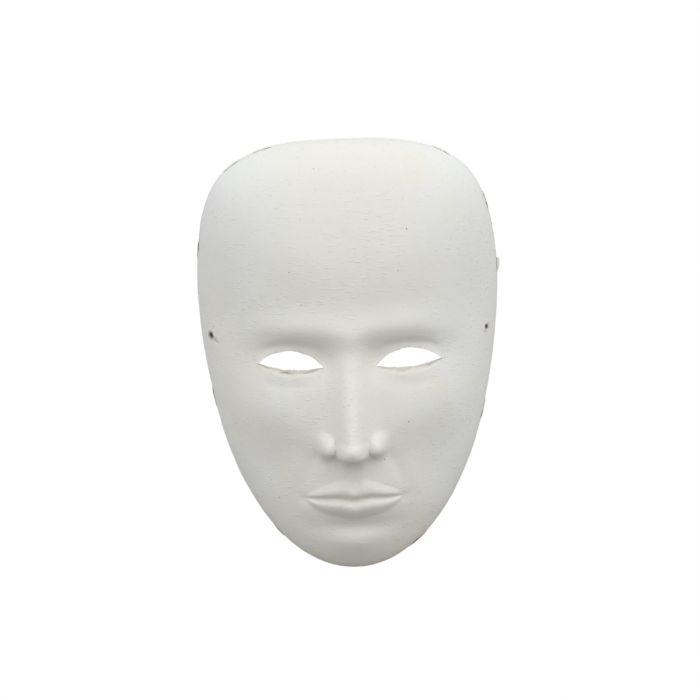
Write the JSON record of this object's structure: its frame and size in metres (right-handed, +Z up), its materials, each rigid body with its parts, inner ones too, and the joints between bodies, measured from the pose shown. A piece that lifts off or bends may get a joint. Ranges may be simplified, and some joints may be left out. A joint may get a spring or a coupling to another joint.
{
  "type": "papier-mache face mask",
  "caption": "Plain white full-face mask of moulded papier-mache with cut eye openings, a strip-bound rim and tie holes at the temples.",
  "frame": {"origin": "on the mask's middle plane, midway between the two tie holes at the temples, where the wearer's face carries it", "axes": "+Z up towards the forehead edge, +Y back towards the wearer, so the face looks along -Y; +X to the viewer's right"},
  "size_m": [0.1636, 0.0873, 0.2311],
  "materials": {
    "gessoed_paper": "matt white ground on moulded paper pulp",
    "lining_paper": "rough unpainted pulp paper",
    "strip_paper": "torn paper strip, pasted and whitened",
    "patch_paper": "torn paper patch, pasted"
  },
  "bodies": {
    "root": {"outer_ply": "gessoed_paper", "inner_ply": "lining_paper", "rim_strip_top": "strip_paper", "rim_strip_top_right": "strip_paper", "rim_strip_temple_right": "strip_paper", "rim_strip_cheek_right": "strip_paper", "rim_strip_jaw_right": "strip_paper", "rim_strip_chin": "strip_paper", "rim_strip_jaw_left": "strip_paper", "rim_strip_cheek_left": "strip_paper", "rim_strip_temple_left": "strip_paper", "rim_strip_top_left": "strip_paper", "tie_patch_left": "patch_paper", "tie_patch_right": "patch_paper"}
  },
  "joints": []
}
